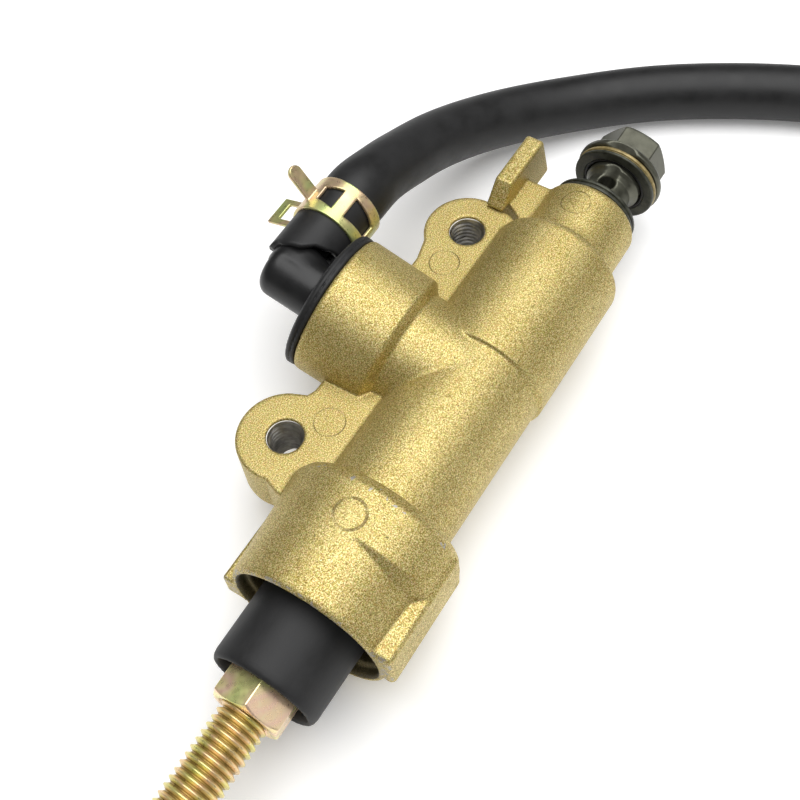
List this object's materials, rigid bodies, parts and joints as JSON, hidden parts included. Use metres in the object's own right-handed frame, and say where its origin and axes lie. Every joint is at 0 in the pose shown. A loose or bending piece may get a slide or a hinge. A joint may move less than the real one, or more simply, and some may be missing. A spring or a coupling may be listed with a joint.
{
  "type": "brake master cylinder",
  "caption": "Rear brake master cylinder in gold-painted cast aluminium with a threaded pushrod and boot, banjo bolt outlet, and an inlet elbow carrying a clamped rubber reservoir hose",
  "frame": {"origin": "On the flat fixing face of the ear at the pushrod end, 6.4 mm inboard of its threaded hole", "axes": "+X along the bore from the pushrod to the outlet, +Y towards the inlet port, +Z straight out of the fixing faces"},
  "size_m": [0.2078, 0.1468, 0.0348],
  "materials": {
    "gold_paint": "fine metallic gold paint over cast aluminium, slightly grainy",
    "anodised_aluminium": "turned, clear anodised",
    "seal_rubber": "smooth moulded seal rubber",
    "spring_steel": "oiled spring steel",
    "yellow_zinc": "yellow passivated zinc plating with pink and green tints",
    "boot_rubber": "smooth matte black rubber",
    "olive_plated_steel": "dark olive plated steel",
    "black_plastic": "moulded black plastic",
    "hose_rubber": "smooth black hose with faint draw marks"
  },
  "bodies": {
    "housing": {"body_casting": "gold_paint", "inlet_boss": "gold_paint", "ear_pushrod_end": "gold_paint", "ear_outlet_end": "gold_paint", "stop_lug": "gold_paint", "pushrod_stop_plate": "spring_steel", "bore_circlip": "spring_steel", "dust_boot": "boot_rubber", "return_spring": "spring_steel", "banjo_washer_inner": "yellow_zinc", "inlet_elbow": "black_plastic", "inlet_o_ring": "seal_rubber", "inlet_circlip": "spring_steel", "inlet_gasket": "seal_rubber", "inlet_cover": "boot_rubber", "hose_clamp": "yellow_zinc", "reservoir_hose": "hose_rubber"},
    "piston_group": {"piston": "anodised_aluminium", "primary_cup": "seal_rubber", "secondary_cup": "seal_rubber", "spring_seat": "spring_steel"},
    "rod": {"pushrod": "yellow_zinc"},
    "nut": {"lock_nut": "yellow_zinc"},
    "outer_washer": {"banjo_washer_outer": "yellow_zinc"},
    "bolt": {"banjo_bolt": "olive_plated_steel"}
  },
  "joints": [
    {"name": "piston_stroke", "type": "slide", "parent": "housing", "child": "piston_group", "axis": [1, 0, 0], "range_m": [0, 0.012], "stiffness_N_per_m": 700, "springref_m": -0.01, "deforming": ["return_spring"]},
    {"name": "rod_stroke", "type": "slide", "parent": "housing", "child": "rod", "axis": [1, 0, 0], "range_m": [0, 0.012]},
    {"name": "nut_turn", "type": "hinge", "parent": "rod", "child": "nut", "pos_m": [-0.0362, -0.0134, -0.0045], "axis": [1, 0, 0], "range_deg": [-180, 180]},
    {"name": "banjo_advance", "type": "slide", "parent": "housing", "child": "outer_washer", "axis": [1, 0, 0], "range_m": [-0.0055, 0.0035]},
    {"name": "banjo_turn", "type": "hinge", "parent": "outer_washer", "child": "bolt", "pos_m": [0.0768, -0.0134, -0.0045], "axis": [1, 0, 0], "range_deg": [-1585, 1009]}
  ],
  "couplings": [
    {"joint": "rod_stroke", "follows": "piston_stroke", "ratio": 1},
    {"joint": "banjo_turn", "follows": "banjo_advance", "rad_per_m": 5026.5}
  ]
}
